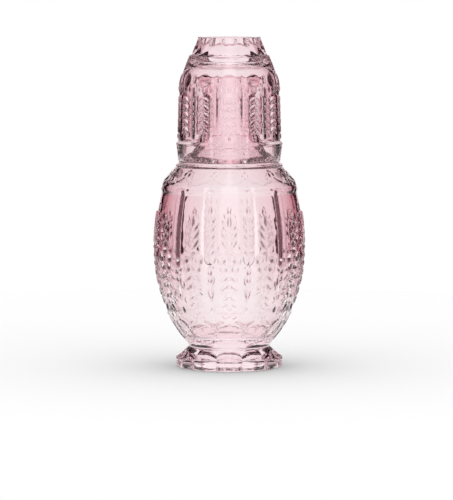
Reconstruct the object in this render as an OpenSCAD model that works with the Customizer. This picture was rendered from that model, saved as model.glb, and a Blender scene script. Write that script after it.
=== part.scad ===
// Bedside carafe with its tumbler upturned over the neck, both in pressed pink glass.
// Millimetres, +Z up. The origin is on the table, under the middle of the foot.
// Heights are stacked: each one starts where the one before it ends.

/* [Foot] */
// Diameter over the petals of the foot
foot_d = 84; // [76:1:96]
// Height of the foot's upright edge
foot_edge_h = 8; // [6:0.5:10]
// Height of the slope from that edge in to the waist
foot_slope_h = 8.8; // [6:0.2:12]
// Rounding where the foot's edge meets the table
foot_round = 1.2; // [0.6:0.1:2]
// Number of petals round the foot
petal_count = 12; // [10:1:14]
// How far the notches between petals run in from the edge
petal_notch = 3; // [1.5:0.25:3.5]
// Diameter of the hollow under the foot
hollow_d = 60; // [40:1:66]
// Depth of the hollow under the foot
hollow_h = 3; // [1:0.5:4]

/* [Carafe body] */
// Diameter of the waist, between foot and collar
waist_d = 63.2; // [56:0.2:68]
// Diameter at the collar's top edge
collar_d = 71.6; // [70:0.2:78]
// Height of the collar
collar_h = 6; // [4:0.5:9]
// Diameter at the top of the arched band
band_d = 94.6; // [86:0.2:102]
// Height of the arched band
band_h = 17.6; // [14:0.2:22]
// Widest diameter of the body
belly_d = 120; // [112:1:132]
// Height from the arched band up to the widest part
belly_low_h = 53.6; // [46:0.2:60]
// Height from the widest part up to the shoulder
belly_high_h = 52.2; // [46:0.2:60]
// Diameter where the body turns in at the shoulder
shoulder_d = 104.4; // [98:0.2:110]
// Height of the sloping shoulder
shoulder_h = 12.9; // [10:0.1:16]
// Height of the sloping ledge under the tumbler's seat
ledge_h = 3.2; // [2.4:0.2:5]
// How far the ledge's lower edge stands out past the tumbler's rim
ledge_out = 2.2; // [1:0.1:3.4]
// Thickness of the body's wall
body_wall = 3.4; // [2.6:0.1:4.2]
// Thickness of the wall where shoulder and neck meet
throat_wall = 4; // [3:0.1:5]
// Thickness of glass from the waist up to the floor of the bowl
floor_h = 7.6; // [6:0.1:9]

/* [Carafe neck] */
// Outer diameter of the neck
neck_d = 41; // [36:0.5:46]
// Thickness of the neck's wall
neck_wall = 3.2; // [2.4:0.1:4]
// Height of the ring that keeps the tumbler central
ring_h = 4.2; // [3:0.2:6]
// Gap between that ring and the inside of the tumbler
ring_gap = 1.7; // [0.6:0.1:2.4]
// Height of the sweep from the ring in to the neck
sweep_h = 31.5; // [27:0.5:35]
// Height of the straight neck
neck_h = 14.5; // [10:0.5:18]
// Height of the flare from the neck out to the lip
flare_h = 14.5; // [12:0.5:17]
// Outer diameter of the lip
lip_d = 50.8; // [47:0.2:54]
// Thickness of the rounded lip
lip_w = 3.5; // [3:0.1:4.2]

/* [Tumbler] */
// Gap between the carafe's lip and the floor of the tumbler over it
mouth_gap = 9.5; // [6:0.5:14]
// Outer diameter just inside the rounding of the rim
rim_d = 80.6; // [78:0.2:86]
// Thickness of the wall at the rim
rim_wall = 3.2; // [2.6:0.1:3.8]
// Rounding of the rim
rim_round = 1.2; // [0.8:0.1:1.3]
// Height from the rim to the sharp edge of the rim band
rim_band_h = 14.4; // [11:0.2:17]
// How far that sharp edge stands out past the rim
rim_band_out = 1.7; // [0.8:0.1:2.5]
// Height from the rim to the ridge where the tumbler starts to narrow
ridge_h = 60; // [56:0.5:63]
// Outer diameter at the ridge
ridge_d = 78.4; // [76:0.2:80]
// Outer diameter at the top of the narrowing part
taper_d = 62.4; // [60:0.2:66]
// Height of the faceted base
facet_h = 14; // [11:0.5:16]
// Size across two opposite facets at the very end of the base
base_w = 48.6; // [44:0.2:54]
// Width of the ledge round the foot of the facets
facet_ledge = 1.6; // [1:0.1:2.4]
// Number of facets round the base
facet_count = 16; // [12:1:20]
// Thickness of glass from the end of the base to the floor of the tumbler
tumbler_floor_h = 20; // [17:0.5:22]
// Height below the ridge at which the inside starts to curve in
inside_curve_h = 8; // [4:0.5:12]

/* [Pattern] */
// Number of panels round the carafe and round the tumbler
panel_count = 12; // [8:1:16]
// How far the ground of the carafe's panels lies behind the bowl's outline
panel_sink = 1.3; // [0.6:0.1:1.6]
// Width of the columns between the carafe's panels
column_w = 5.2; // [3:0.2:8]
// How far those columns stand out past the bowl's outline
column_out = 0.5; // [0:0.1:0.8]
// Width of the carafe's sprigs over the blossoms, their widest part
sprig_w = 18; // [10:0.5:22]
// Width of the columns between the tumbler's panels
slim_column_w = 3; // [2:0.2:5]
// How far the tumbler's columns stand out
slim_column_out = 0.6; // [0.3:0.1:1]

/* [Hidden] */
$fn = 96;

// Steps in an arc, and the overrun of a cut past what it cuts
arc_steps = 12;
short_steps = 6;
overrun = 2;

// Heights on the carafe, from the table up
waist_z = foot_edge_h + foot_slope_h;
collar_z = waist_z + collar_h;
band_z = collar_z + band_h;
belly_z = band_z + belly_low_h;
shoulder_z = belly_z + belly_high_h;
ledge_z = shoulder_z + shoulder_h;
seat_z = ledge_z + ledge_h;
ring_z = seat_z + ring_h;
neck_z = ring_z + sweep_h;
flare_z = neck_z + neck_h;
lip_z = flare_z + flare_h;
floor_z = waist_z + floor_h;

// Radii on the carafe. The ring and the ledge follow the tumbler's rim.
foot_r = foot_d / 2;
waist_r = waist_d / 2;
belly_r = belly_d / 2;
neck_r = neck_d / 2;
lip_r = lip_d / 2;
rim_r = rim_d / 2;
rim_in_r = rim_r - rim_wall;
ring_r = rim_in_r - ring_gap;
ledge_r = rim_r + ledge_out;
seat_r = rim_r - rim_round / 2;

// Outward bow of the arched band, of the shoulder and of the tumbler's narrowing part
band_bow_share = 0.05;
shoulder_bow_share = 0.03;
foot_bow_share = -0.03;
taper_bow_share = 0.025;

// Columns keep clear of the ends of the panels by these shares of the bowl's two halves. Columns
// and sprigs are rooted this far under the ground that they stand on.
column_low_share = 0.34;
column_high_share = 0.04;
column_sink = body_wall / 4;

// A sprig as stations from the bottom up: half width, height of the edge, height of the ridge, and
// how far the ridge stands out of the ground. Widths and the last are shares of the largest.
// Heights are shares of the bowl's lower half where negative, and otherwise of its upper half.
sprig_stations = [
    [0.08, -0.78, -0.78, 0.1],
    [0.8, -0.52, -0.44, 1],
    [0.2, -0.32, -0.3, 0.5],
    [1, -0.14, -0.14, 1],
    [0.3, 0, 0, 1],
    [0.64, 0.24, 0.14, 1],
    [0.2, 0.23, 0.2, 0.5],
    [0.6, 0.42, 0.33, 1],
    [0.08, 0.56, 0.56, 0.1]];

// Heights on the tumbler. Its rim is at the seat, and its floor clears the carafe's lip.
inside_top_z = lip_z + lip_w + mouth_gap;
tumbler_top_z = inside_top_z + tumbler_floor_h;
flange_z = seat_z + rim_band_h;
flange_top_z = flange_z + rim_band_out;
ridge_z = seat_z + ridge_h;
taper_z = tumbler_top_z - facet_h;
ridge_r = ridge_d / 2;
taper_r = taper_d / 2;
base_apothem = base_w / 2;

// How far the flat of the tumbler's floor stays inside the outside, in walls
corner_walls_share = 2.6;

// The base's standing ring and the shallow hollow inside it
base_hollow_share = 0.8;
base_hollow_h = rim_round;

// The groove over the ridge
ridge_groove = rim_round / 2;
ridge_groove_h = 2 * rim_round;

// Radius of the circle through the corners of a regular polygon with this apothem
function corner_r(apothem, sides) = apothem / cos(180 / sides);

// Radius at height z of the arc that starts upright at the first point and ends at the second
function upright_r(z, r0, z0, r1, z1) =
    let (dr = r1 - r0, dz = z1 - z0, radius = (dr * dr + dz * dz) / (2 * abs(dr)))
    r0 + sign(dr) * (radius - sqrt(radius * radius - (z - z0) * (z - z0)));

// Points along that arc
function upright_arc(r0, z0, r1, z1, steps) =
    [for (i = [0 : steps]) let (z = z0 + (z1 - z0) * i / steps) [upright_r(z, r0, z0, r1, z1), z]];

// Quarter of an ellipse that starts upright at the first point and ends level at the second
function corner_arc(r0, z0, r1, z1, steps) =
    [for (i = [0 : steps]) let (a = 90 * i / steps)
        [r1 + (r0 - r1) * cos(a), z0 + (z1 - z0) * sin(a)]];

// Arc that starts level on the axis and ends at radius r1
function level_arc(z0, r1, z1, steps) =
    let (dz = z1 - z0, radius = (r1 * r1 + dz * dz) / (2 * abs(dz)))
    [for (i = [0 : steps]) let (r = r1 * i / steps)
        [r, z0 + sign(dz) * (radius - sqrt(radius * radius - r * r))]];

// Line from one point to another, bowed outwards by a share of its length
function bowed_line(r0, z0, r1, z1, bow_share, steps) =
    [for (i = [0 : steps]) let (t = i / steps, bow = 4 * t * (1 - t) * bow_share)
        [r0 + (r1 - r0) * t + (z1 - z0) * bow, z0 + (z1 - z0) * t - (r1 - r0) * bow]];

// Part of a circle round a centre, between two angles
function round_arc(r0, z0, radius, a0, a1, steps) =
    [for (i = [0 : steps]) let (a = a0 + (a1 - a0) * i / steps)
        [r0 + radius * cos(a), z0 + radius * sin(a)]];

function reversed(points) = [for (i = [len(points) - 1 : -1 : 0]) points[i]];

// The bowl's outer radius at a height between the arched band and the shoulder
function bowl_r(z) = z < belly_z
    ? upright_r(z, belly_r, belly_z, band_d / 2, band_z)
    : upright_r(z, belly_r, belly_z, shoulder_d / 2, shoulder_z);

// The ground of the panels, which comes out to the bowl's outline at both ends
function panel_ground() = [for (i = [0 : 2 * arc_steps])
    let (z = band_z + (shoulder_z - band_z) * i / (2 * arc_steps))
    [bowl_r(z) - panel_sink * min(1, i / 2, 2 * arc_steps - i), z]];

// A point on a turned piece, from its radius, its distance across from the middle and its height
function wrapped(r, across, z) = let (a = across / r * 180 / PI) [r * cos(a), r * sin(a), z];

// The tumbler's outer radius at a height on its straight wall, and on the part that narrows
function wall_r(z) = rim_r + (ridge_r - rim_r) * (z - flange_top_z) / (ridge_z - flange_top_z);
function narrow_r(z) = ridge_r + (taper_r - ridge_r) * (z - ridge_z) / (taper_z - ridge_z);

// Outline of the foot, from the hollow under it round to the waist
module foot_outline() {
    polygon(concat(
        level_arc(hollow_h, hollow_d / 2, 0, short_steps),
        round_arc(foot_r - foot_round, foot_round, foot_round, -90, 0, short_steps),
        bowed_line(foot_r, foot_edge_h, waist_r, waist_z, foot_bow_share, short_steps),
        [[0, waist_z]]));
}

// Plan of the foot: overlapping circles, one for each petal, round a disc
module petal_plan() {
    notch_a = 180 / petal_count;
    notch_r = foot_r - petal_notch;
    // A circle that touches the foot's edge and passes through the notches beside it
    petal_at = (foot_r * foot_r - notch_r * notch_r) / (2 * (foot_r - notch_r * cos(notch_a)));
    circle(r = notch_r * cos(notch_a));
    for (i = [0 : petal_count - 1]) {
        rotate(i * 360 / petal_count) translate([petal_at, 0]) circle(r = foot_r - petal_at);
    }
}

module foot() {
    intersection() {
        rotate_extrude() foot_outline();
        linear_extrude(waist_z) petal_plan();
    }
}

// Outside of the carafe from the waist up to the lip
function carafe_outside() = concat(
    [[0, waist_z], [waist_r, waist_z]],
    bowed_line(collar_d / 2, collar_z, band_d / 2, band_z, band_bow_share, short_steps),
    panel_ground(),
    bowed_line(shoulder_d / 2, shoulder_z, ledge_r, ledge_z, shoulder_bow_share, short_steps),
    [[seat_r, seat_z], [ring_r, seat_z]],
    reversed(upright_arc(neck_r, neck_z, ring_r, ring_z, arc_steps)),
    upright_arc(neck_r, flare_z, lip_r, lip_z, short_steps),
    round_arc(lip_r - lip_w / 2, lip_z + lip_w / 2, lip_w / 2, 0, 90, short_steps),
    [[0, lip_z + lip_w]]);

// Inside of the carafe, from the floor of the bowl up and out of the mouth
function carafe_inside() = concat(
    level_arc(floor_z, collar_d / 2 - body_wall, collar_z + body_wall, short_steps),
    bowed_line(collar_d / 2 - body_wall, collar_z + body_wall, band_d / 2 - body_wall / 2,
        band_z + body_wall, band_bow_share, short_steps),
    reversed(upright_arc(belly_r - body_wall, belly_z, band_d / 2 - body_wall / 2,
        band_z + body_wall, arc_steps)),
    upright_arc(belly_r - body_wall, belly_z, shoulder_d / 2 - body_wall,
        shoulder_z - body_wall / 2, arc_steps),
    reversed(upright_arc(neck_r - neck_wall, neck_z, ring_r - throat_wall, seat_z, arc_steps)),
    upright_arc(neck_r - neck_wall, flare_z, lip_r - lip_w, lip_z, short_steps),
    round_arc(lip_r - lip_w / 2, lip_z + lip_w / 2, lip_w / 2, 180, 90, short_steps),
    [[lip_r - lip_w / 2, lip_z + lip_w + overrun], [0, lip_z + lip_w + overrun]]);

// One column: a strip between two panels, out past the bowl's outline
module carafe_column() {
    low_z = belly_z - belly_low_h * column_low_share;
    high_z = shoulder_z - belly_high_h * column_high_share;
    turn = column_w / belly_r * 180 / PI;
    outside = [for (i = [0 : arc_steps]) let (z = low_z + (high_z - low_z) * i / arc_steps)
        [bowl_r(z) + column_out * sin(180 * i / arc_steps), z]];
    inside = [for (i = [0 : arc_steps]) let (z = low_z + (high_z - low_z) * i / arc_steps)
        [bowl_r(z) - panel_sink - column_sink, z]];
    rotate(-turn / 2) rotate_extrude(angle = turn) polygon(concat(outside, reversed(inside)));
}

// A sprig as one closed form, from stations of [half width, edge height, edge radius, ridge height,
// ridge radius]. Each has a point on the ridge, an edge point on either side, sunk under the
// ground, and a point behind them.
module sprig(stations, sink) {
    last = len(stations) - 1;
    points = [for (s = stations) each [
        wrapped(s[4], 0, s[3]),
        wrapped(s[2] - sink, s[0], s[1]),
        wrapped(s[2] - 2 * sink, 0, s[3]),
        wrapped(s[2] - sink, -s[0], s[1])]];
    sides = [for (i = [0 : last - 1]) for (k = [0 : 3])
        let (a = 4 * i + k, b = 4 * i + (k + 1) % 4)
        each [[a, a + 4, b], [b, a + 4, b + 4]]];
    ends = [
        [0, 1, 2],
        [0, 2, 3],
        [4 * last, 4 * last + 2, 4 * last + 1],
        [4 * last, 4 * last + 3, 4 * last + 2]];
    polyhedron(points, concat(sides, ends));
}

function sprig_z(share) = belly_z + share * (share < 0 ? belly_low_h : belly_high_h);

module carafe_sprig() {
    sprig([for (s = sprig_stations) let (edge_z = sprig_z(s[1]), ridge_z = sprig_z(s[2]))
        [sprig_w / 2 * s[0], edge_z, bowl_r(edge_z) - panel_sink,
            ridge_z, bowl_r(ridge_z) - panel_sink * (1 - s[3])]],
        column_sink);
}

module carafe() {
    color("pink") difference() {
        union() {
            foot();
            rotate_extrude() polygon(carafe_outside());
            for (i = [0 : panel_count - 1]) {
                rotate((i + 1 / 2) * 360 / panel_count) carafe_column();
                rotate(i * 360 / panel_count) carafe_sprig();
            }
        }
        rotate_extrude() polygon(carafe_inside());
    }
}

// Outside of the upturned tumbler, from the rim up to the end of its base
function tumbler_outside() = concat(
    [[0, seat_z]],
    round_arc(rim_r - rim_round, seat_z + rim_round, rim_round, -90, 0, short_steps),
    [[rim_r + rim_band_out, flange_z], [rim_r, flange_top_z]],
    [[ridge_r, ridge_z], [ridge_r - ridge_groove, ridge_z + ridge_groove_h]],
    bowed_line(ridge_r - ridge_groove, ridge_z + ridge_groove_h, taper_r, taper_z,
        taper_bow_share, arc_steps),
    [[corner_r(base_apothem, facet_count), tumbler_top_z]],
    reversed(level_arc(tumbler_top_z - base_hollow_h, base_apothem * base_hollow_share,
        tumbler_top_z, short_steps)));

// Inside of the tumbler, open at the rim
function tumbler_inside() = concat(
    [[0, seat_z - overrun], [rim_in_r + rim_round, seat_z - overrun]],
    reversed(round_arc(rim_in_r + rim_round, seat_z + rim_round, rim_round, 180, 270, short_steps)),
    corner_arc(ridge_r - rim_wall, ridge_z - inside_curve_h,
        narrow_r(inside_top_z) - rim_wall * corner_walls_share, inside_top_z, arc_steps),
    [[0, inside_top_z]]);

// One facet of the base: the cut leaves a flat that leans in towards the end
module facet_cut() {
    wide = 2 * taper_r;
    rotate([90, 0, 0]) linear_extrude(wide, center = true) polygon([
        [taper_r - facet_ledge, taper_z],
        [base_apothem, tumbler_top_z],
        [base_apothem, tumbler_top_z + overrun],
        [wide, tumbler_top_z + overrun],
        [wide, taper_z]]);
}

// One slim column on the tumbler's wall, between the rim band and the ridge
module tumbler_column() {
    low_z = flange_top_z + rim_band_h / 3;
    high_z = ridge_z - rim_band_h / 2;
    turn = slim_column_w / rim_r * 180 / PI;
    outside = [for (i = [0 : short_steps]) let (z = low_z + (high_z - low_z) * i / short_steps)
        [wall_r(z) + slim_column_out * sin(180 * i / short_steps), z]];
    inside = [for (p = [low_z, high_z]) [wall_r(p) - rim_wall / 3, p]];
    rotate(-turn / 2) rotate_extrude(angle = turn) polygon(concat(outside, reversed(inside)));
}

module tumbler() {
    color("lightpink") difference() {
        union() {
            rotate_extrude() polygon(tumbler_outside());
            for (i = [0 : panel_count - 1]) {
                rotate((i + 1 / 2) * 360 / panel_count) tumbler_column();
            }
        }
        rotate_extrude() polygon(tumbler_inside());
        for (i = [0 : facet_count - 1]) {
            rotate(i * 360 / facet_count) facet_cut();
        }
    }
}

carafe();
tumbler();
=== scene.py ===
# Bedside carafe with its tumbler upturned over the neck, both in pressed pink glass.
# Each piece of glass is one closed skin: a profile spun round the axis, with the pressed relief
# raised on its outside. The frame gives the overall sizes, and the property groups hold the rest.
import math

import bmesh
import bpy
from bpy.props import FloatProperty, IntProperty, PointerProperty, StringProperty
from mathutils import Matrix, Vector


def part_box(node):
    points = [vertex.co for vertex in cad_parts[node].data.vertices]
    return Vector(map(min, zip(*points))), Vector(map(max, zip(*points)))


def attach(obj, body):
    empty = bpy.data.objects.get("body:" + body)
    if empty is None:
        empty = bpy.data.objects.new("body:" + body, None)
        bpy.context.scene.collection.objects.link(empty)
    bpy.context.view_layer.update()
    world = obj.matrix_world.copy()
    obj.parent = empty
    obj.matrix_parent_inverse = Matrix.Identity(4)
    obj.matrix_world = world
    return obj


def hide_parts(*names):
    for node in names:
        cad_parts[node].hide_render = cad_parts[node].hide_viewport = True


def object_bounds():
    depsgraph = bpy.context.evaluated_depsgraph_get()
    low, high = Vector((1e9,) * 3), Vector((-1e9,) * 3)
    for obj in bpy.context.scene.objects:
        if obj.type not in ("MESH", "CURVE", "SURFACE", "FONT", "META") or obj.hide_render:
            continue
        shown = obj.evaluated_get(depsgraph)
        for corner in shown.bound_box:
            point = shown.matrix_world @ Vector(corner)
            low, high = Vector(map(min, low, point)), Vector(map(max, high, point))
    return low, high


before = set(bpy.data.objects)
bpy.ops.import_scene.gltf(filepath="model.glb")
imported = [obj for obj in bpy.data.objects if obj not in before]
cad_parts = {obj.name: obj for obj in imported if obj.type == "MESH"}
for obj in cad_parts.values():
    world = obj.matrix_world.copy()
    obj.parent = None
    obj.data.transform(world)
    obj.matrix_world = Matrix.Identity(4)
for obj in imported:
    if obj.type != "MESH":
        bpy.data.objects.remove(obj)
CAD_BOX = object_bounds()
CARAFE_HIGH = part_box("carafe")[1]
TUMBLER_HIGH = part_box("tumbler")[1]

bl_info = {
    "name": "Pressed Glass Carafe",
    "version": (1, 0, 0),
    "blender": (4, 5, 0),
    "location": "View3D > Sidebar > Carafe",
    "description": "Builds a pressed-glass carafe with its upturned tumbler, and their studio",
    "category": "Object",
}

MM = 0.001
TOP = CAD_BOX[1].z

# The photograph's frame in pixels, and the sensor in millimetres that lens lengths refer to
IMAGE_W = 453
IMAGE_H = 500
SENSOR_MM = 36

# Columns round the skins, and the wedges that they are spun and copied in
CARAFE_COLUMNS = 432
TUMBLER_COLUMNS = 576
INSIDE_COLUMNS = 108
WEDGES = 12

# Height of the skins' rows: about a millimetre where there is relief, finer on the tumbler, whose
# relief is finer, and coarser where the glass is plain or straight
FINE_ROW = 0.66 * MM
RELIEF_ROW = 1.25 * MM
SWEEP_ROW = 2 * MM
PLAIN_ROW = 2.5 * MM
STRAIGHT_ROW = 5 * MM

# Steps in a quarter turn of a rounding, and in the shallow arcs of hollows and floors
ARC_STEPS = 5
FOOT_HOLLOW_STEPS = 8
BASE_HOLLOW_STEPS = 6
BOWL_FLOOR_STEPS = 12
TUMBLER_CURVE_STEPS = 16

# How far a sloping part bows outwards, as a share of its length
FOOT_BOW = -0.03
BAND_BOW = 0.05
SHOULDER_BOW = 0.03
FLOOR_BOW = -0.05
TAPER_BOW = -0.025

# Width of the hollow in the tumbler's base as a share of the base, and the glass at the corner of
# the tumbler's floor as a share of its rim's wall
BASE_HOLLOW_SHARE = 0.8
CORNER_WALLS_SHARE = 2.6

# Points of a skin that lie closer than this are one
MERGE = 0.002 * MM

# One column in so many round each piece is bold
BOLD_EVERY = 3

# The stain up the two pieces: height in millimetres, the colour it has there, and how much of the
# edge's colour comes over it where light grazes the wall
STAINS = ((45, "pale", 0.4), (95, "stain", 1), (136, "stain", 1), (145, "pale", 0.5),
          (162, "upper", 0.3), (176, "upper", 0.4), (190, "upper", 1), (215, "upper", 1),
          (235, "upper", 0.4), (260, "upper", 0.4))

# Share of a lamp's light that the glass lets through to the floor, and how much denser than its
# strongest colour its depth is, which keeps the depth's colour clear of black
SHADOW_CLEAR = 0.75
DEPTH_ROOM = 1.25

# The studio as glass sees it. Each stop has its share of the way from straight behind the object
# round to its side, and from behind the camera round to the same side, its colour and its alpha.
STUDIO_STOPS = ((0, "panel", 1), (0.16, "panel", 1), (0.19, "panel_edge", 1), (0.25, "cloth", 1),
                (0.64, "cloth", 1), (0.8, "wall", 1), (1, "wall", 1))
QUARTER_TURN = math.pi / 2

# How far down a line of sight points where the walls start and end turning into the white floor
HORIZON = (-0.13, -0.2)

# Softboxes: name, place, width and height in metres, and power in watts
SOFTBOXES = (("softbox_over", (0, 0, 3), (2.6, 2.6), 4),
             ("strip_softbox", (-1.34, -1.49, 0.5), (0.25, 1.4), 2.5),
             ("strip_softbox", (1.34, -1.49, 0.5), (0.25, 1.4), 2.5))
FLOOR_SIDES = 128

# Bounces enough for light to pass through every wall, and to play between them
CLEAR_BOUNCES = 32
GLOSS_BOUNCES = 12

WHITE = (1, 1, 1, 1)

# Sockets of a colour Mix node, which share their names with those of its other kinds
MIX_FACTOR, MIX_A, MIX_B, MIX_RESULT = 0, 6, 7, 2


def linear(hex_colour):
    """The linear RGB of an sRGB hex colour."""
    parts = [int(hex_colour[i:i + 2], 16) / 255 for i in (1, 3, 5)]
    return tuple(c / 12.92 if c <= 0.04045 else ((c + 0.055) / 1.055) ** 2.4 for c in parts)


def length(name, description, millimetres):
    """A length property whose default is given in millimetres."""
    return FloatProperty(name=name, description=description, default=millimetres * MM,
                         min=0, subtype="DISTANCE", unit="LENGTH", precision=5)


class FootSizes(bpy.types.PropertyGroup):
    """Sizes of the carafe's petalled foot."""
    width: length("Width", "Diameter over the petals", 84)
    edge: length("Edge", "Height of the upright edge", 8)
    slope: length("Slope", "Height of the slope from the edge in to the waist", 8.8)
    rounding: length("Rounding", "Rounding where the edge meets the table", 1.2)
    notch: length("Notch", "How far the notches between petals run in", 3)
    hollow_width: length("Hollow Width", "Diameter of the hollow underneath", 60)
    hollow: length("Hollow", "Depth of the hollow underneath", 3)


class BodySizes(bpy.types.PropertyGroup):
    """Sizes of the carafe's body, from the waist up to the tumbler's seat."""
    waist: length("Waist", "Diameter between foot and collar", 63.2)
    collar: length("Collar", "Diameter at the collar's top edge", 71.6)
    collar_height: length("Collar Height", "Height of the collar", 6)
    band: length("Band", "Diameter at the top of the arched band", 94.6)
    band_height: length("Band Height", "Height of the arched band", 17.6)
    low_height: length("Lower Height", "From the arched band up to the widest part", 53.6)
    high_height: length("Upper Height", "From the widest part up to the shoulder", 52.2)
    shoulder: length("Shoulder", "Diameter where the body turns in", 104.4)
    shoulder_height: length("Shoulder Height", "Height of the sloping shoulder", 12.9)
    ledge_height: length("Ledge Height", "Height of the ledge under the tumbler's seat", 3.2)
    ledge_out: length("Ledge Out", "How far the ledge stands out past the tumbler's rim", 2.2)
    wall: length("Wall", "Thickness of the wall", 3.4)
    throat_wall: length("Throat Wall", "Thickness where shoulder and neck meet", 4)
    floor: length("Floor", "Glass from the waist up to the floor of the bowl", 7.6)


class NeckSizes(bpy.types.PropertyGroup):
    """Sizes of the carafe's neck and lip."""
    width: length("Width", "Outer diameter of the neck", 41)
    wall: length("Wall", "Thickness of the neck's wall", 3.2)
    ring_height: length("Ring Height", "Height of the ring that centres the tumbler", 4.2)
    ring_gap: length("Ring Gap", "Gap between that ring and the tumbler", 1.7)
    sweep: length("Sweep", "Height of the sweep from the ring in to the neck", 31.5)
    straight: length("Straight", "Height of the straight neck", 14.5)
    flare: length("Flare", "Height of the flare out to the lip", 14.5)
    lip: length("Lip", "Outer diameter of the lip", 50.8)
    lip_wall: length("Lip Wall", "Thickness of the rounded lip", 3.5)


class TumblerSizes(bpy.types.PropertyGroup):
    """Sizes of the upturned tumbler, from the rim up to its base."""
    rim: length("Rim", "Outer diameter of the rim", 80.6)
    rim_wall: length("Rim Wall", "Thickness of the wall at the rim", 3.2)
    rim_round: length("Rim Rounding", "Rounding of the rim", 1.2)
    band_height: length("Band Height", "From the rim up to the rim band's sharp edge", 14.4)
    band_out: length("Band Out", "How far that edge stands out past the rim", 1.7)
    ridge_height: length("Ridge Height", "From the rim up to where the tumbler narrows", 60)
    ridge: length("Ridge", "Outer diameter at the ridge", 78.4)
    taper: length("Taper", "Outer diameter at the top of the narrowing part", 62.4)
    facet_height: length("Facet Height", "Height of the faceted base", 14)
    base: length("Base", "Across two opposite facets at the very end", 48.6)
    facet_ledge: length("Facet Ledge", "Width of the ledge round the foot of the facets", 1.6)
    floor: length("Floor", "Thickness of the glass in the base", 20)
    curve_height: length("Curve Height", "Where the inside starts to curve, below the ridge", 8)
    seat_gap: length("Seat Gap", "Gap between rim and seat, as thin as a film of air", 0.05)


class ReliefSizes(bpy.types.PropertyGroup):
    """Sizes of the pressed relief that both pieces share."""
    panels: IntProperty(name="Panels", description="Number of panels round each piece",
                        default=12, min=3)
    facets: IntProperty(name="Facets", description="Number of facets round the base",
                        default=16, min=3)
    sink: length("Sink", "How far the panels' ground lies behind the outline", 1.3)
    column: length("Column", "Width of the columns between the carafe's panels", 8)
    column_out: length("Column Out", "How far those columns stand out past the outline", 0.5)
    slim_column: length("Slim Column", "Width of the columns between the tumbler's panels", 5)
    leaf: length("Leaf", "How far leaves and blossoms stand out from the ground", 1.3)
    thread: length("Thread", "Width of the line that draws festoons and arches", 1.4)
    thread_out: length("Thread Out", "How far those lines stand out", 0.6)
    festoon_out: length("Festoon Out", "How far the shoulder's festoons stand out", 0.3)
    seat_groove: length("Seat Groove", "Groove round the ledge under the tumbler", 1.2)
    flute: length("Flute", "How far each of the base's facets is hollowed", 0.6)
    nick: length("Nick", "Depth of the short nicks between those facets", 3.4)


class GlassLook(bpy.types.PropertyGroup):
    """Look of the pink glass."""
    pale: StringProperty(name="Pale", description="Colour of light through one wall at the foot",
                         default="#FFFAFB")
    stain: StringProperty(name="Stain", description="Colour of light through one wall of the bowl",
                          default="#FEF4F6")
    upper: StringProperty(name="Upper", description="Colour of light through the tumbler's wall",
                          default="#FFF7F9")
    edge: StringProperty(name="Edge", description="Further colour where light grazes the wall",
                         default="#DC6080")
    edge_power: FloatProperty(name="Edge Power", description="How close to the edges it keeps",
                              default=1.2, min=0)
    tint: StringProperty(name="Tint", description="Colour of light after the depth of the tint",
                         default="#FDF6F8")
    tint_depth: length("Tint Depth", "Depth of glass that colours light by the tint", 40)
    wave: length("Wave", "Width of the faint waves that the fire polish leaves", 6)
    wave_height: length("Wave Height", "Height of those waves", 0.08)
    ior: FloatProperty(name="IOR", description="Index of refraction of soda-lime glass",
                       default=1.52)


class StudioLook(bpy.types.PropertyGroup):
    """Camera, floor, and the studio that shows in the glass."""
    camera_distance: length("Camera Distance", "From the axis to the camera", 2600)
    camera_height: length("Camera Height", "Height of the camera over the floor", 325)
    aim_height: length("Aim Height", "Height at which the camera points", 92)
    scale: FloatProperty(name="Scale", description="Pixels of the photograph for a millimetre",
                         default=1.272)
    axis_x: FloatProperty(name="Axis", description="The object's axis across the photograph",
                          default=229.3)
    floor_radius: length("Floor Radius", "Radius of the floor", 600)
    floor_gap: length("Floor Gap", "Gap between floor and foot, as thin as a film of air", 0.1)
    floor_tone: FloatProperty(name="Floor Tone", description="Share of light the floor gives back",
                              default=0.8, min=0, max=1)
    floor_shown: FloatProperty(name="Floor Shown", description="The same, as the camera sees it",
                               default=0.95, min=0, max=1)
    panel: StringProperty(name="Panel", description="Colour of the panels behind and in front",
                          default="#FFFFFF")
    panel_edge: StringProperty(name="Panel Edge", description="Colour of the panels' soft edge",
                               default="#CC9AA6")
    cloth: StringProperty(name="Cloth", description="Colour of the cloth beside the panels",
                          default="#0C0406")
    wall: StringProperty(name="Wall", description="Colour of the walls at the sides",
                         default="#6A3E4A")


# Profiles are lists of (radius, height) points. Each line or arc leaves out its first point, so
# that they can be joined end to end.


def steps_for(a, b, row):
    """How many rows of the given height fit between two points."""
    return max(1, round(math.dist(a, b) / row))


def bowed(a, b, row, bow=0.0):
    """A line from a to b, bowed outwards by a share of its length."""
    n = steps_for(a, b, row)
    made = []
    for i in range(1, n + 1):
        t = i / n
        out = 4 * t * (1 - t) * bow
        made.append((a[0] + (b[0] - a[0]) * t + (b[1] - a[1]) * out,
                     a[1] + (b[1] - a[1]) * t - (b[0] - a[0]) * out))
    return made


def upright_arc(a, b, row, upright):
    """An arc from a to b that is upright at one of them."""
    other = b if upright == a else a
    dr, dz = other[0] - upright[0], other[1] - upright[1]
    radius = (dr * dr + dz * dz) / (2 * abs(dr))
    n = steps_for(a, b, row)
    made = []
    for i in range(1, n + 1):
        z = a[1] + (b[1] - a[1]) * i / n
        inwards = radius - math.sqrt(radius ** 2 - (z - upright[1]) ** 2)
        made.append((upright[0] + math.copysign(inwards, dr), z))
    return made


def round_arc(centre, radius, start, end, n):
    """Part of a circle between two angles in degrees."""
    angles = [math.radians(start + (end - start) * i / n) for i in range(1, n + 1)]
    return [(centre[0] + radius * math.cos(a), centre[1] + radius * math.sin(a)) for a in angles]


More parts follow.
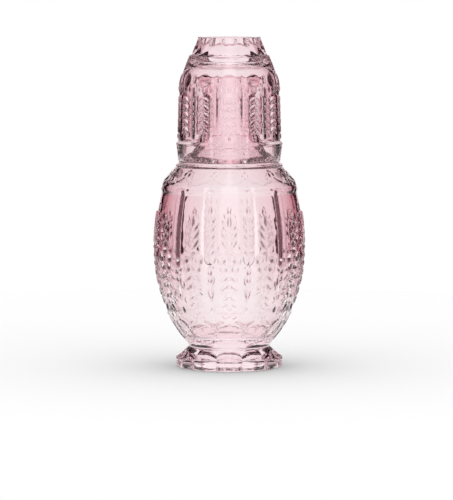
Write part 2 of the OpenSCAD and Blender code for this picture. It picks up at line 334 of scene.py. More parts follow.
def level_arc(middle, edge, n):
    """An arc that is level at height middle on the axis and ends at edge, from the axis out."""
    dz = edge[1] - middle
    radius = (edge[0] ** 2 + dz * dz) / (2 * abs(dz))
    made = []
    for i in range(n + 1):
        r = edge[0] * i / n
        made.append((r, middle + math.copysign(radius - math.sqrt(radius ** 2 - r * r), dz)))
    return made


def corner_arc(a, b, n):
    """Quarter of an ellipse that is upright at a and level at b."""
    turns = [QUARTER_TURN * i / n for i in range(1, n + 1)]
    return [(b[0] + (a[0] - b[0]) * math.cos(turn), a[1] + (b[1] - a[1]) * math.sin(turn))
            for turn in turns]


class CarafeHeights:
    """Radii and heights of the carafe, stacked from the foot up as in the solid."""

    def __init__(self, scene):
        foot, body, neck = scene.glass_foot, scene.glass_body, scene.glass_neck
        tumbler = scene.glass_tumbler
        self.waist = (body.waist / 2, foot.edge + foot.slope)
        self.collar = (body.collar / 2, self.waist[1] + body.collar_height)
        self.band = (body.band / 2, self.collar[1] + body.band_height)
        self.belly = (CARAFE_HIGH.x, self.band[1] + body.low_height)
        self.shoulder = (body.shoulder / 2, self.belly[1] + body.high_height)
        self.ledge = (tumbler.rim / 2 + body.ledge_out, self.shoulder[1] + body.shoulder_height)
        self.seat = (tumbler.rim / 2 - tumbler.rim_round / 2, self.ledge[1] + body.ledge_height)
        ring_r = tumbler.rim / 2 - tumbler.rim_wall - neck.ring_gap
        self.ring_foot = (ring_r, self.seat[1])
        self.ring = (ring_r, self.seat[1] + neck.ring_height)
        self.neck = (neck.width / 2, self.ring[1] + neck.sweep)
        self.flare = (neck.width / 2, self.neck[1] + neck.straight)
        self.lip = (neck.lip / 2, self.flare[1] + neck.flare)
        self.floor = self.waist[1] + body.floor


def carafe_outside(scene, at):
    """The carafe's outside, from the hollow under the foot up to the inside of the lip."""
    foot, neck = scene.glass_foot, scene.glass_neck
    foot_r = foot.width / 2
    edge_top = (foot_r, foot.edge)
    groove = scene.glass_relief.seat_groove
    half_lip = neck.lip_wall / 2
    lip_middle = (at.lip[0] - half_lip, at.lip[1])
    return (
        level_arc(foot.hollow, (foot.hollow_width / 2, 0), FOOT_HOLLOW_STEPS)
        + bowed((foot.hollow_width / 2, 0), (foot_r - foot.rounding, 0), PLAIN_ROW)
        + round_arc((foot_r - foot.rounding, foot.rounding), foot.rounding, -90, 0, ARC_STEPS)
        + bowed((foot_r, foot.rounding), edge_top, PLAIN_ROW)
        + bowed(edge_top, at.waist, RELIEF_ROW, FOOT_BOW)
        + bowed(at.waist, at.collar, RELIEF_ROW)
        + bowed(at.collar, at.band, RELIEF_ROW, BAND_BOW)
        + upright_arc(at.band, at.belly, RELIEF_ROW, at.belly)
        + upright_arc(at.belly, at.shoulder, RELIEF_ROW, at.belly)
        + bowed(at.shoulder, (at.ledge[0], at.ledge[1] - groove), RELIEF_ROW, SHOULDER_BOW)
        + [(at.ledge[0] - groove, at.ledge[1] - groove / 2), at.ledge]
        + bowed(at.ledge, at.seat, RELIEF_ROW)
        + bowed(at.seat, at.ring_foot, PLAIN_ROW)
        + bowed(at.ring_foot, at.ring, RELIEF_ROW)
        + upright_arc(at.ring, at.neck, SWEEP_ROW, at.neck)
        + bowed(at.neck, at.flare, STRAIGHT_ROW)
        + upright_arc(at.flare, at.lip, PLAIN_ROW, at.flare)
        + round_arc(lip_middle, half_lip, 0, 180, 2 * ARC_STEPS))


def carafe_inside(scene, at):
    """The carafe's inside, from under the lip down to the floor of the bowl."""
    body, neck = scene.glass_body, scene.glass_neck
    lip_in = (at.lip[0] - neck.lip_wall, at.lip[1])
    bore = at.neck[0] - neck.wall
    throat = (at.ring[0] - body.throat_wall, at.seat[1])
    under_shoulder = (at.shoulder[0] - body.wall, at.shoulder[1] - body.wall / 2)
    belly = (at.belly[0] - body.wall, at.belly[1])
    turn_in = (at.band[0] - body.wall / 2, at.band[1] + body.wall)
    floor_edge = (at.collar[0] - body.wall, at.collar[1] + body.wall)
    bore_top, bore_foot = (bore, at.flare[1]), (bore, at.neck[1])
    return (
        upright_arc(lip_in, bore_top, PLAIN_ROW, bore_top)
        + bowed(bore_top, bore_foot, STRAIGHT_ROW)
        + upright_arc(bore_foot, throat, PLAIN_ROW, bore_foot)
        + bowed(throat, under_shoulder, PLAIN_ROW)
        + upright_arc(under_shoulder, belly, PLAIN_ROW, belly)
        + upright_arc(belly, turn_in, PLAIN_ROW, belly)
        + bowed(turn_in, floor_edge, PLAIN_ROW, FLOOR_BOW)
        + list(reversed(level_arc(at.floor, floor_edge, BOWL_FLOOR_STEPS)))[1:])


class TumblerHeights:
    """Radii and heights of the upturned tumbler, from its rim up as in the solid."""

    def __init__(self, scene, seat):
        sizes = scene.glass_tumbler
        top = TUMBLER_HIGH.z
        self.rim = (sizes.rim / 2, seat + sizes.seat_gap)
        self.flange = (self.rim[0] + sizes.band_out, seat + sizes.band_height)
        self.wall = (self.rim[0], self.flange[1] + sizes.band_out)
        self.ridge = (sizes.ridge / 2, seat + sizes.ridge_height)
        self.groove = (self.ridge[0] - sizes.rim_round / 2, self.ridge[1] + 2 * sizes.rim_round)
        self.taper = (sizes.taper / 2, top - sizes.facet_height)
        corner = 1 / math.cos(math.pi / scene.glass_relief.facets)
        self.facet_foot = ((self.taper[0] - sizes.facet_ledge) * corner, self.taper[1])
        self.base = (sizes.base / 2 * corner, top)
        self.base_hollow = (sizes.base / 2 * BASE_HOLLOW_SHARE, top)
        self.base_middle = top - sizes.rim_round
        self.curve = (self.ridge[0] - sizes.rim_wall, self.ridge[1] - sizes.curve_height)
        floor_z = top - sizes.floor
        narrow = (floor_z - self.ridge[1]) / (self.taper[1] - self.ridge[1])
        outer_r = self.ridge[0] + (self.taper[0] - self.ridge[0]) * narrow
        self.floor = (outer_r - CORNER_WALLS_SHARE * sizes.rim_wall, floor_z)


def tumbler_outside(scene, at):
    """The tumbler's outside, from the middle of its base down to the inside of the rim."""
    rim_round = scene.glass_tumbler.rim_round
    rim_in = at.rim[0] - scene.glass_tumbler.rim_wall
    low = at.rim[1]
    return (
        level_arc(at.base_middle, at.base_hollow, BASE_HOLLOW_STEPS)
        + bowed(at.base_hollow, at.base, PLAIN_ROW)
        + bowed(at.base, at.facet_foot, FINE_ROW)
        + bowed(at.facet_foot, at.taper, RELIEF_ROW)
        + bowed(at.taper, at.groove, RELIEF_ROW, TAPER_BOW)
        + bowed(at.groove, at.ridge, FINE_ROW)
        + bowed(at.ridge, at.wall, FINE_ROW)
        + bowed(at.wall, at.flange, FINE_ROW)
        + bowed(at.flange, (at.rim[0], low + rim_round), RELIEF_ROW)
        + round_arc((at.rim[0] - rim_round, low + rim_round), rim_round, 0, -90, ARC_STEPS)
        + round_arc((rim_in + rim_round, low + rim_round), rim_round, 270, 180, ARC_STEPS))


def tumbler_inside(scene, at):
    """The tumbler's inside, from above the rim up to its floor on the axis."""
    rim_in = (at.rim[0] - scene.glass_tumbler.rim_wall, at.rim[1] + scene.glass_tumbler.rim_round)
    return (
        bowed(rim_in, at.curve, PLAIN_ROW)
        + corner_arc(at.curve, at.floor, TUMBLER_CURVE_STEPS)
        + bowed(at.floor, (0, at.floor[1]), PLAIN_ROW))


# Places and sizes of the relief, in millimetres up the piece and across it, from the middle of a
# panel or, where they belong to a column, of that column. A soft step is where it starts and where
# it ends, a bead its middle and its half width and height, and a leaf its root, its tip and its
# half width. Names in OUT are heights over the ground, and names in SHARE are shares of the
# property that they follow.

# A leaf is widest a little nearer its root, because of this power
LEAF_LEAN = 0.8

# The carafe's arched band: arches, an oval ring with a bead in it, and beads on the columns
ARCH_GAP, ARCH_RISE, ARCH_CROWN = 0.6, 6.4, 40
RING_AT, RING_HALF_W, RING_HALF_H, RING_LINE = 43, 5, 2, 0.3
RING_BEADS = (((0, 43), (2.8, 1)),)
BAND_COLUMN_BEADS = (((2.05, 33.6), (1.3, 1.1)), ((0, 30), (1.3, 2.2)))

# Its panels, from the top of the band to the shoulder, with their sunk ground
PANEL_LOW, PANEL_HIGH = 44, 142
GROUND = ((44, 50), (138, 141))

# The flowering sprig on each of them
STEM = ((50, 54), (113, 116))
STEM_HALF_W, STEM_SHARE = 0.5, 0.5
BLOSSOMS = (((0, 94.6), (3, 1.5)), ((6.4, 88.7), (3.2, 3.2)), ((4.6, 82.2), (3, 2.8)),
            ((0, 51), (1.8, 2.6)))
SPRIG_LEAVES = (((0, 113.5), (0, 123), 1.6), ((0.5, 110.5), (4.82, 116.9), 1.8),
                ((0.5, 104.2), (5.9, 112.2), 1.8), ((0.5, 97.8), (5.9, 105.8), 1.8),
                ((0.3, 77.8), (7.4, 71.8), 1.7), ((0.3, 71), (7.4, 65), 1.7),
                ((0.4, 61.5), (5.2, 57), 1.4), ((0.4, 56), (7.5, 51.5), 1.3))

# The bold columns, whose top sinks back into the outline, and the soft ones with a small sprig
COLUMN_SLOPE = 1.6
COLUMN_FOOT, COLUMN_END = (82, 86), (134, 141)
SWELL_FOOT = (82, 92)
SWELL_W_SHARE, SWELL_OUT_SHARE = 1.4, 0.35
SMALL_LEAVES = (((0, 124), (0, 131), 1.1),) + tuple(
    ((0.3, root), (3.6, root + 4.6), 1.2) for root in (93, 99, 105, 111, 117))

# Below every column: two beads that stand out this much more than the leaves do, and a leaf and a
# bead that hang under them
COLUMN_BEADS = (((0, 79.5), (1.7, 2.6)), ((0, 73.5), (1.7, 2.6)))
BEADS_MORE_OUT = 0.3
COLUMN_LEAVES = (((0, 69), (0, 57), 2.2),)
COLUMN_DROPS = (((0, 48.5), (1.8, 2.6)),)

# The shoulder's festoons, each with its half span, its sag and its lowest point, the beads where
# they meet, and the scalloped skirt at the foot of the neck
FESTOON = (13.4, 6.2, 147.5)
SHOULDER_COLUMN_BEADS = (((2.05, 154), (1.3, 1.1)), ((0, 156.6), (2.6, 0.9)))
SKIRT_FOOT = (165.5, 167)
SKIRT_TOP, SKIRT_DIP, SKIRT_EDGE, SKIRT_OUT = 172, 3, 0.8, 0.8

# The tumbler's columns, bold and soft, and their heads, which spread round the panels' arches
SLIM_FOOT, SLIM_OUT = (180, 183), 1
SOFT_FOOT, SOFT_OUT, SOFT_W_SHARE = (186, 212), 0.6, 0.7
HEAD_FOOT, HEAD_END = (210, 212), (220.5, 222)
HEAD_RISE, HEAD_CROWN, HEAD_EDGE, HEAD_OUT = 4, 217.5, 0.6, 0.35

# Its sprigs, the row of beads over its panels, and the ovals at its ridge
WALL_STEM = ((184, 186), (212, 214))
WALL_STEM_OUT = 0.4
WALL_LEAVES = (((0, 184), (0, 180), 0.9),) + tuple(
    ((0.3, root), (5, root - 5), 1.9) for root in (190, 195.8, 201.6, 207.4, 213.2))
WALL_LEAVES_SHARE = 0.5
WALL_BEAD_AT, WALL_BEAD_HALF, WALL_BEAD_OUT = 219.6, (1.7, 2.2), 0.7
RIDGE_OVALS = (((0, 226.5), (5.2, 4.8)),)
RIDGE_COLUMN_BEADS = (((0, 227), (1.8, 3)),)
RIDGE_OVAL_OUT, RIDGE_BEAD_OUT = 0.8, 0.6

# The nicks between the tumbler's facets, down from the end of the base. A point is on the edge of
# the base past this share of its radius, and on the foot of the facets within this slack.
NICK_HALF_W = 1.1
NICK_STEPS = ((0.8, 1.6), (4.5, 6.5))
BASE_EDGE_SHARE = 0.97
FACET_SLACK = 0.1 * MM

# Motifs give a height from 0 to 1 at a place on a panel, where across is the distance from the
# panel's middle and up is the height on the piece.


def smooth(value, start, end):
    """0 before start, 1 after end, and a soft step between them."""
    t = min(1, max(0, (value - start) / (end - start)))
    return t * t * (3 - 2 * t)


def between(value, first, last):
    """1 between two soft steps, and 0 outside them."""
    return smooth(value, *first) * (1 - smooth(value, *last))


def dome(across, up, at, half):
    """A round or oval bead."""
    d = ((across - at[0]) / half[0]) ** 2 + ((up - at[1]) / half[1]) ** 2
    return math.sqrt(1 - d) if d < 1 else 0


def leaf(across, up, root, tip, half_w):
    """A pointed leaf from root to tip."""
    ax, ay = tip[0] - root[0], tip[1] - root[1]
    long = math.hypot(ax, ay)
    along = ((across - root[0]) * ax + (up - root[1]) * ay) / (long * long)
    if not 0 < along < 1:
        return 0
    beside = abs((across - root[0]) * ay - (up - root[1]) * ax) / long
    edge = half_w * math.sin(math.pi * along ** LEAF_LEAN)
    return math.sqrt(1 - (beside / edge) ** 2) if beside < edge else 0


def highest(across, up, beads=(), leaves=()):
    """The highest of some beads and leaves."""
    return max([dome(across, up, *one) for one in beads]
               + [leaf(across, up, *one) for one in leaves])


def thread(distance, half_w):
    """A rounded line whose middle is at distance 0."""
    d = distance / half_w
    return math.sqrt(1 - d * d) if abs(d) < 1 else 0


def rib(distance, half_w):
    """A rib that swells softly from its edges to its middle."""
    return 0.5 + 0.5 * math.cos(math.pi * distance / half_w) if abs(distance) < half_w else 0


def slope(distance, width):
    """0 up to distance 0, and a straight slope from there up to 1."""
    return min(1, max(0, distance / width))


def above_arch(across, up, half_span, rise, crown):
    """Distance outside the circle of an arch with this crown, negative under the arch."""
    radius = (half_span ** 2 + rise ** 2) / (2 * rise)
    return math.hypot(across, up - (crown - radius)) - radius


def above_festoon(across, up, half_span, sag, low):
    """Distance outside the circle of a festoon that hangs down to low."""
    radius = (half_span ** 2 + sag ** 2) / (2 * sag)
    return math.hypot(across, up - (low + radius)) - radius


# Heights of the relief over the outline, in millimetres, where edge is the distance to the middle
# of the nearest column


def band_relief(relief, across, edge, up):
    """The arches, rings and beads round the carafe's arched band."""
    line_w, line_out = relief.thread / 2 / MM, relief.thread_out / MM
    half_span = across + edge - ARCH_GAP
    arch = above_arch(across, up, half_span, ARCH_RISE, ARCH_CROWN)
    ring = math.hypot(across / RING_HALF_W, (up - RING_AT) / RING_HALF_H) - 1
    return line_out * max(thread(arch, line_w), thread(ring, RING_LINE),
                          highest(across, up, RING_BEADS), highest(edge, up, BAND_COLUMN_BEADS))


def panel_relief(relief, across, edge, up, bold):
    """The carafe's sunk panel with its sprig, and what is on and below the column beside it: a
    bold column, or a soft swell with a small sprig on it."""
    sink, leaf_out = relief.sink / MM, relief.leaf / MM
    column_w, column_out = relief.column / 2 / MM, relief.column_out / MM
    stem = STEM_SHARE * thread(across, STEM_HALF_W) * between(up, *STEM)
    parts = [leaf_out * max(stem, highest(across, up, BLOSSOMS, SPRIG_LEAVES)),
             leaf_out * highest(edge, up, COLUMN_DROPS, COLUMN_LEAVES),
             (leaf_out + BEADS_MORE_OUT) * highest(edge, up, COLUMN_BEADS)]
    if bold:
        over = sink + column_out * (1 - smooth(up, *COLUMN_END))
        parts.append(over * slope(column_w - edge, COLUMN_SLOPE) * smooth(up, *COLUMN_FOOT))
    else:
        swell = rib(edge, SWELL_W_SHARE * column_w) * smooth(up, *SWELL_FOOT)
        parts.append(SWELL_OUT_SHARE * sink * swell)
        parts.append(leaf_out * highest(edge, up, leaves=SMALL_LEAVES))
    return max(parts) - sink * between(up, *GROUND)


def shoulder_relief(relief, across, edge, up):
    """The carafe's festoons and the beads where they meet, and the skirt under its neck."""
    line_w, line_out = relief.thread / 2 / MM, relief.thread_out / MM
    festoon = relief.festoon_out / MM * thread(above_festoon(across, up, *FESTOON), line_w)
    hem = SKIRT_TOP - SKIRT_DIP * (across / (across + edge)) ** 2
    skirt = SKIRT_OUT * slope(hem - up, SKIRT_EDGE) * smooth(up, *SKIRT_FOOT)
    return max(festoon, line_out * highest(edge, up, SHOULDER_COLUMN_BEADS), skirt)


def carafe_relief(relief, across, edge, up, bold):
    """All of the carafe's relief."""
    if up <= PANEL_LOW:
        return band_relief(relief, across, edge, up)
    if up < PANEL_HIGH:
        return panel_relief(relief, across, edge, up, bold)
    return shoulder_relief(relief, across, edge, up)


def tumbler_relief(relief, across, edge, up, bold):
    """All of the tumbler's relief: its columns with their heads, sprigs, beads and ovals."""
    column_w, leaf_out = relief.slim_column / 2 / MM, relief.leaf / MM
    half = across + edge
    if bold:
        column = SLIM_OUT * rib(edge, column_w) * smooth(up, *SLIM_FOOT)
    else:
        column = SOFT_OUT * rib(edge, SOFT_W_SHARE * column_w) * smooth(up, *SOFT_FOOT)
    above = above_arch(across, up, half - column_w, HEAD_RISE, HEAD_CROWN)
    head = HEAD_OUT * slope(above, HEAD_EDGE) * smooth(up, *HEAD_FOOT)
    beads = [((place, WALL_BEAD_AT), WALL_BEAD_HALF) for place in (0, half / 2, half)]
    return max(
        max(column, head) * (1 - smooth(up, *HEAD_END)),
        WALL_STEM_OUT * thread(across, STEM_HALF_W) * between(up, *WALL_STEM),
        WALL_LEAVES_SHARE * leaf_out * highest(across, up, leaves=WALL_LEAVES),
        WALL_BEAD_OUT * highest(across, up, beads),
        RIDGE_OVAL_OUT * highest(across, up, RIDGE_OVALS),
        RIDGE_BEAD_OUT * highest(edge, up, RIDGE_COLUMN_BEADS))


def raise_relief(mesh, layer, relief, columns, height_at):
    """Moves the outside of a skin out to its relief. Heights are worked out once for each place on
    half a group of panels, from the middle of one bold column to halfway to the next, because the
    pattern is mirrored and repeated from there."""
    panels = relief.panels
    per_panel = columns // panels
    group = BOLD_EVERY * per_panel
    step = 2 * math.pi / columns
    known = {}
    for v in [v for v in mesh.verts if v[layer]]:
        r = math.hypot(v.co.x, v.co.y)
        if r < MM:
            continue
        column = round(math.atan2(v.co.y, v.co.x) / step) % group
        column = min(column, group - column)
        bold = column > (BOLD_EVERY - 1) / 2 * per_panel
        column %= per_panel
        column = min(column, per_panel - column)
        place = (bold, column, round(v.co.z / MM, 3), round(r / MM, 3))
        if place not in known:
            across = r * column * step / MM
            edge = r * math.pi / panels / MM - across
            known[place] = height_at(relief, across, edge, v.co.z / MM, bold) * MM
        v.co += v.normal * known[place]


def petal_foot(mesh, layer, scene, at):
    """Draws the foot's edge in to its petals, which are arcs between the notches."""
    foot = scene.glass_foot
    foot_r, notch_r = foot.width / 2, foot.width / 2 - foot.notch
    turn = math.pi / scene.glass_relief.panels
    petal_at = (foot_r ** 2 - notch_r ** 2) / (2 * (foot_r - notch_r * math.cos(turn)))
    petal_r = foot_r - petal_at
    for v in [v for v in mesh.verts if v[layer] and v.co.z < at.waist[1]]:
        r = math.hypot(v.co.x, v.co.y)
        if r < foot.hollow_width / 2:
            continue
        angle = (math.atan2(v.co.y, v.co.x) + turn) % (2 * turn) - turn
        from_petal = math.sqrt(petal_r ** 2 - (petal_at * math.sin(angle)) ** 2)
        edge = petal_at * math.cos(angle) + from_petal
        share = smooth(r, foot.hollow_width / 2, foot_r)
        scale = 1 + (edge / foot_r - 1) * share
        v.co.x *= scale
        v.co.y *= scale


def cut_facets(mesh, layer, relief, at):
    """Flattens the tumbler's base to its facets, from the edge of the base down to their foot,
    hollows them, and nicks the edges between them."""
    turn = math.pi / relief.facets
    for v in [v for v in mesh.verts if v[layer] and v.co.z > at.taper[1] - FACET_SLACK]:
        r = math.hypot(v.co.x, v.co.y)
        if r < at.base[0] * BASE_EDGE_SHARE or r > at.facet_foot[0] + FACET_SLACK:
            continue
        angle = (math.atan2(v.co.y, v.co.x) + turn) % (2 * turn) - turn
        beside = (turn - abs(angle)) * r / MM
        down = (at.base[1] - v.co.z) / MM
        nick = max(0, 1 - beside / NICK_HALF_W) * between(down, *NICK_STEPS)
        hollow = relief.flute * math.cos(QUARTER_TURN * angle / turn) + relief.nick * nick
        scale = math.cos(turn) / math.cos(angle) - hollow / r
        v.co.x *= scale
        v.co.y *= scale


def spun_skin(outside, columns, inside):
    """A closed skin: the outer profile spun round the axis, and the inner one with fewer columns,
    because it is smooth. One wedge is spun and then copied round, which is much quicker than a
    full spin. Returns the mesh and the layer that marks the outside."""
    mesh = bmesh.new()
    layer = mesh.verts.layers.int.new("outside")
    for profile, count, mark in ((outside, columns, 1), (inside, INSIDE_COLUMNS, 0)):
        line = [mesh.verts.new((r, 0, z)) for r, z in profile]
        for v in line:
            v[layer] = mark
        edges = [mesh.edges.new(pair) for pair in zip(line, line[1:])]
        bmesh.ops.spin(mesh, geom=line + edges, cent=(0, 0, 0), axis=(0, 0, 1),
                       angle=2 * math.pi / WEDGES, steps=count // WEDGES)
    wedge = mesh.verts[:] + mesh.edges[:] + mesh.faces[:]
    for i in range(1, WEDGES):
        copy = bmesh.ops.duplicate(mesh, geom=wedge)["geom"]
        bmesh.ops.rotate(mesh, verts=[v for v in copy if isinstance(v, bmesh.types.BMVert)],
                         matrix=Matrix.Rotation(2 * math.pi * i / WEDGES, 3, "Z"))
    bmesh.ops.remove_doubles(mesh, verts=mesh.verts, dist=MERGE)
    bmesh.ops.bridge_loops(mesh, edges=[e for e in mesh.edges if e.is_boundary])
    bmesh.ops.recalc_face_normals(mesh, faces=mesh.faces)
    # Spinning leaves the faces in another order each run, so points and faces are sorted by place
    for elements, place in ((mesh.verts, lambda v: v.co[:]),
                            (mesh.faces, lambda face: face.calc_center_median()[:])):
        for i, element in enumerate(sorted(elements, key=place)):
            element.index = i
        elements.sort()
    mesh.normal_update()
    return mesh, layer


def finish_piece(mesh, name, material, body):
    """Makes the skin a smooth-shaded piece in place of its body's CAD node, which has the same
    name as the body."""
    bmesh.ops.recalc_face_normals(mesh, faces=mesh.faces)
    data = bpy.data.meshes.new(name)
    mesh.to_mesh(data)
    mesh.free()
    data.shade_smooth()
    data.materials.append(material)
    piece = bpy.data.objects.new(name, data)
    bpy.context.scene.collection.objects.link(piece)
    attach(piece, body)
    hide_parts(body)


def add_node(tree, kind, settings=(), links=()):
    """Adds a node, sets its inputs, by name or number, or its settings, and links its inputs from
    other nodes' sockets."""
    node = tree.nodes.new(kind)
    for key, value in dict(settings).items():
        if isinstance(key, int) or key in node.inputs:
            node.inputs[key].default_value = value
        else:
            setattr(node, key, value)
    for key, socket in dict(links).items():
        tree.links.new(socket, node.inputs[key])
    return node


def emptied_tree(owner):
    """The node tree of a material or world, with nothing in it."""
    owner.use_nodes = True
    owner.node_tree.nodes.clear()
    return owner.node_tree


def fill_ramp(ramp, look, stops):
    """Gives a new ramp its stops: places up to 1, names of the look's colours, and alphas."""
    ramp.elements.remove(ramp.elements[0])
    for place, name, alpha in stops[:-1]:
        ramp.elements.new(place).color = linear(getattr(look, name)) + (alpha,)
    _, name, alpha = stops[-1]
    ramp.elements[-1].color = linear(getattr(look, name)) + (alpha,)


def pressed_glass(scene):
    """Soda-lime glass, pressed in a mould and fire-polished, tinted pink through its thickness.
    The polish leaves it clear and shiny all over, with faint waves, and the tint deepens where
    light goes through more glass, as in the base of the tumbler and along the edges."""
    name = "pressed_pink_soda_lime_glass"
    if name in bpy.data.materials:
        return bpy.data.materials[name]
    look = scene.glass_look
    material = bpy.data.materials.new(name)
    tree = emptied_tree(material)
    place = add_node(tree, "ShaderNodeTexCoord")
    parts = add_node(tree, "ShaderNodeSeparateXYZ", {}, {"Vector": place.outputs["Object"]})
    up = add_node(tree, "ShaderNodeMapRange", {"From Min": 0.0, "From Max": TOP},
                  {"Value": parts.outputs["Z"]})
    stain = add_node(tree, "ShaderNodeValToRGB", {}, {"Fac": up.outputs["Result"]})
    stops = [(height * MM / TOP, colour, graze_share) for height, colour, graze_share in STAINS]
    fill_ramp(stain.color_ramp, look, stops)
    facing = add_node(tree, "ShaderNodeLayerWeight", {"Blend": 0.5})
    graze = add_node(tree, "ShaderNodeMath", {"operation": "POWER", 1: look.edge_power},
                     {0: facing.outputs["Facing"]})
    share = add_node(tree, "ShaderNodeMath", {"operation": "MULTIPLY"},
                     {0: graze.outputs["Value"], 1: stain.outputs["Alpha"]})
    deeper = add_node(tree, "ShaderNodeMix", {
        "data_type": "RGBA", "blend_type": "MULTIPLY", MIX_B: linear(look.edge) + (1,)},
        {MIX_FACTOR: share.outputs["Value"], MIX_A: stain.outputs["Color"]})
    waves = add_node(tree, "ShaderNodeTexNoise", {"Scale": 1 / look.wave, "Detail": 1.0},
                     {"Vector": place.outputs["Object"]})
    polish = add_node(tree, "ShaderNodeBump", {"Strength": 1.0, "Distance": look.wave_height},
                      {"Height": waves.outputs["Fac"]})
    surface = add_node(tree, "ShaderNodeBsdfPrincipled", {
        "Roughness": 0.0, "IOR": look.ior, "Transmission Weight": 1.0},
        {"Base Color": deeper.outputs[MIX_RESULT], "Normal": polish.outputs["Normal"]})
    loss = [-math.log(c) / look.tint_depth for c in linear(look.tint)]
    density = DEPTH_ROOM * max(loss)
    depth = add_node(tree, "ShaderNodeVolumeAbsorption", {
        "Color": tuple(1 - c / density for c in loss) + (1,), "Density": density})
    clear = add_node(tree, "ShaderNodeBsdfTransparent", {"Color": (SHADOW_CLEAR,) * 3 + (1,)})
    path = add_node(tree, "ShaderNodeLightPath")
    passing = add_node(tree, "ShaderNodeMixShader", {}, {
        "Fac": path.outputs["Is Shadow Ray"], 1: surface.outputs["BSDF"],
        2: clear.outputs["BSDF"]})
    add_node(tree, "ShaderNodeOutputMaterial", {}, {
        "Surface": passing.outputs["Shader"], "Volume": depth.outputs["Volume"]})
    return material


class AddCarafe(bpy.types.Operator):
    """Add the carafe, from its petalled foot to its lip, as one skin of glass"""
    bl_idname = "pressed_glass.add_carafe"
    bl_label = "Add Carafe"

    def execute(self, context):
        scene = context.scene
        at = CarafeHeights(scene)
        outside, inside = carafe_outside(scene, at), carafe_inside(scene, at)
        mesh, layer = spun_skin(outside, CARAFE_COLUMNS, inside)
        raise_relief(mesh, layer, scene.glass_relief, CARAFE_COLUMNS, carafe_relief)
        petal_foot(mesh, layer, scene, at)
        finish_piece(mesh, "carafe_glass", pressed_glass(scene), "carafe")
        return {"FINISHED"}


class AddTumbler(bpy.types.Operator):
    """Add the upturned tumbler, from its rim to its faceted base, as one skin of glass"""
    bl_idname = "pressed_glass.add_tumbler"
    bl_label = "Add Tumbler"

    def execute(self, context):
        scene = context.scene
        at = TumblerHeights(scene, CarafeHeights(scene).seat[1])
        outside, inside = tumbler_outside(scene, at), tumbler_inside(scene, at)
        mesh, layer = spun_skin(outside, TUMBLER_COLUMNS, inside)
        raise_relief(mesh, layer, scene.glass_relief, TUMBLER_COLUMNS, tumbler_relief)
        cut_facets(mesh, layer, scene.glass_relief, at)
        finish_piece(mesh, "tumbler_glass", pressed_glass(scene), "tumbler")
        return {"FINISHED"}


def pale_floor(look):
    """Matt white-painted board. It keeps the object's shadow, and shows plain white in glass."""
    material = bpy.data.materials.new("matt_white_studio_board")
    tree = emptied_tree(material)
    path = add_node(tree, "ShaderNodeLightPath")
    tone = add_node(tree, "ShaderNodeMapRange", {
        "To Min": look.floor_tone, "To Max": look.floor_shown},
        {"Value": path.outputs["Is Camera Ray"]})
    paint = add_node(tree, "ShaderNodeBsdfDiffuse", {}, {"Color": tone.outputs["Result"]})
    glow = add_node(tree, "ShaderNodeEmission", {"Color": WHITE, "Strength": 1.0})
    in_glass = add_node(tree, "ShaderNodeMath", {"operation": "MAXIMUM"}, {
        0: path.outputs["Is Transmission Ray"], 1: path.outputs["Is Glossy Ray"]})
    shown = add_node(tree, "ShaderNodeMixShader", {}, {
        "Fac": in_glass.outputs["Value"], 1: paint.outputs["BSDF"], 2: glow.outputs["Emission"]})
    add_node(tree, "ShaderNodeOutputMaterial", {}, {"Surface": shown.outputs["Shader"]})
    return material


def studio_world(look):
    """White all round to the eye, and to the floor. Seen through or in glass, it is a white panel
    behind the object and one behind the camera, a rose wall at each side, and black cloth between
    them, which gives glass its dark edges. Below the horizon the white floor goes on."""
    world = bpy.data.worlds.new("studio_panels")
    tree = emptied_tree(world)
    place = add_node(tree, "ShaderNodeTexCoord")
    parts = add_node(tree, "ShaderNodeSeparateXYZ", {}, {"Vector": place.outputs["Generated"]})
    azimuth = add_node(tree, "ShaderNodeMath", {"operation": "ARCTAN2"}, {
        0: parts.outputs["X"], 1: parts.outputs["Y"]})
    fold = add_node(tree, "ShaderNodeMath", {"operation": "PINGPONG", 1: QUARTER_TURN},
                    {0: azimuth.outputs["Value"]})
    share = add_node(tree, "ShaderNodeMath", {"operation": "DIVIDE", 1: QUARTER_TURN},
                     {0: fold.outputs["Value"]})
    panels = add_node(tree, "ShaderNodeValToRGB", {}, {"Fac": share.outputs["Value"]})
    fill_ramp(panels.color_ramp, look, STUDIO_STOPS)
    low = add_node(tree, "ShaderNodeMapRange", {"From Min": HORIZON[0], "From Max": HORIZON[1]},
                   {"Value": parts.outputs["Z"]})
    around = add_node(tree, "ShaderNodeMix", {"data_type": "RGBA", MIX_B: WHITE}, {
        MIX_FACTOR: low.outputs["Result"], MIX_A: panels.outputs["Color"]})
    studio = add_node(tree, "ShaderNodeBackground", {"Strength": 1.0},
                      {"Color": around.outputs[MIX_RESULT]})
    white = add_node(tree, "ShaderNodeBackground", {"Color": WHITE, "Strength": 1.0})
    path = add_node(tree, "ShaderNodeLightPath")
    plain = add_node(tree, "ShaderNodeMath", {"operation": "MAXIMUM"}, {
        0: path.outputs["Is Camera Ray"], 1: path.outputs["Is Diffuse Ray"]})
    shown = add_node(tree, "ShaderNodeMixShader", {}, {
        "Fac": plain.outputs["Value"], 1: studio.outputs["Background"],
        2: white.outputs["Background"]})
    add_node(tree, "ShaderNodeOutputWorld", {}, {"Surface": shown.outputs["Shader"]})
    return world


def add_floor(scene):
    """Adds the round floor, just under the foot."""
    look = scene.glass_studio
    mesh = bmesh.new()
    bmesh.ops.create_circle(mesh, cap_ends=True, segments=FLOOR_SIDES, radius=look.floor_radius)
    bmesh.ops.translate(mesh, verts=mesh.verts, vec=(0, 0, -look.floor_gap))
    data = bpy.data.meshes.new("studio_floor")
    mesh.to_mesh(data)
    mesh.free()
    data.materials.append(pale_floor(look))
    floor = bpy.data.objects.new("studio_floor", data)
    scene.collection.objects.link(floor)


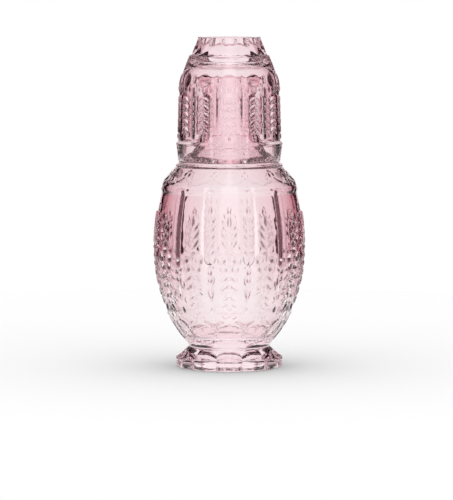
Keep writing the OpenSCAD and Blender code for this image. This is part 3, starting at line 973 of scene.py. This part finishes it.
def add_aimed(scene, name, data, place, aim):
    """Adds a lamp or camera at a place, pointed at another."""
    holder = bpy.data.objects.new(name, data)
    holder.location = place
    holder.rotation_mode = "QUATERNION"
    holder.rotation_quaternion = (Vector(aim) - Vector(place)).to_track_quat("-Z", "Y")
    scene.collection.objects.link(holder)
    return holder


def add_softboxes(scene):
    """Adds the softboxes, which point at the middle of the object."""
    for name, place, size, power in SOFTBOXES:
        lamp = bpy.data.lights.new(name, "AREA")
        lamp.shape = "RECTANGLE"
        lamp.energy = power
        lamp.size, lamp.size_y = size
        add_aimed(scene, name, lamp, place, (0, 0, TOP / 2))


def add_camera(scene):
    """Adds the camera, at the photograph's viewing angle and with its frame."""
    look = scene.glass_studio
    camera = bpy.data.cameras.new("camera")
    camera.sensor_width = SENSOR_MM
    camera.lens = look.scale / MM * look.camera_distance * SENSOR_MM / IMAGE_H
    camera.shift_x = (IMAGE_W / 2 - look.axis_x) / IMAGE_H
    place = (0, -look.camera_distance, look.camera_height)
    scene.camera = add_aimed(scene, "camera", camera, place, (0, 0, look.aim_height))


class AddStudio(bpy.types.Operator):
    """Add the pale floor, the studio's panels and walls, the softboxes and the camera"""
    bl_idname = "pressed_glass.add_studio"
    bl_label = "Add Studio"

    def execute(self, context):
        scene = context.scene
        add_floor(scene)
        scene.world = studio_world(scene.glass_studio)
        add_softboxes(scene)
        add_camera(scene)
        scene.view_settings.view_transform = "Standard"
        scene.cycles.max_bounces = CLEAR_BOUNCES
        scene.cycles.transmission_bounces = CLEAR_BOUNCES
        scene.cycles.glossy_bounces = GLOSS_BOUNCES
        scene.cycles.caustics_reflective = False
        scene.cycles.caustics_refractive = False
        return {"FINISHED"}


class CarafePanel(bpy.types.Panel):
    """Lists the pieces and the studio"""
    bl_idname = "VIEW3D_PT_pressed_glass"
    bl_label = "Pressed Glass Carafe"
    bl_space_type = "VIEW_3D"
    bl_region_type = "UI"
    bl_category = "Carafe"

    def draw(self, context):
        for operator in OPERATORS:
            self.layout.operator(operator.bl_idname)


GROUPS = {
    "glass_foot": FootSizes,
    "glass_body": BodySizes,
    "glass_neck": NeckSizes,
    "glass_tumbler": TumblerSizes,
    "glass_relief": ReliefSizes,
    "glass_look": GlassLook,
    "glass_studio": StudioLook,
}
OPERATORS = (AddCarafe, AddTumbler, AddStudio)


def register():
    for name, group in GROUPS.items():
        bpy.utils.register_class(group)
        setattr(bpy.types.Scene, name, PointerProperty(type=group))
    for operator in OPERATORS:
        bpy.utils.register_class(operator)
    bpy.utils.register_class(CarafePanel)


def unregister():
    bpy.utils.unregister_class(CarafePanel)
    for operator in OPERATORS:
        bpy.utils.unregister_class(operator)
    for name, group in GROUPS.items():
        delattr(bpy.types.Scene, name)
        bpy.utils.unregister_class(group)


def main():
    register()
    bpy.ops.pressed_glass.add_carafe()
    bpy.ops.pressed_glass.add_tumbler()
    bpy.ops.pressed_glass.add_studio()


if __name__ == "__main__":
    main()
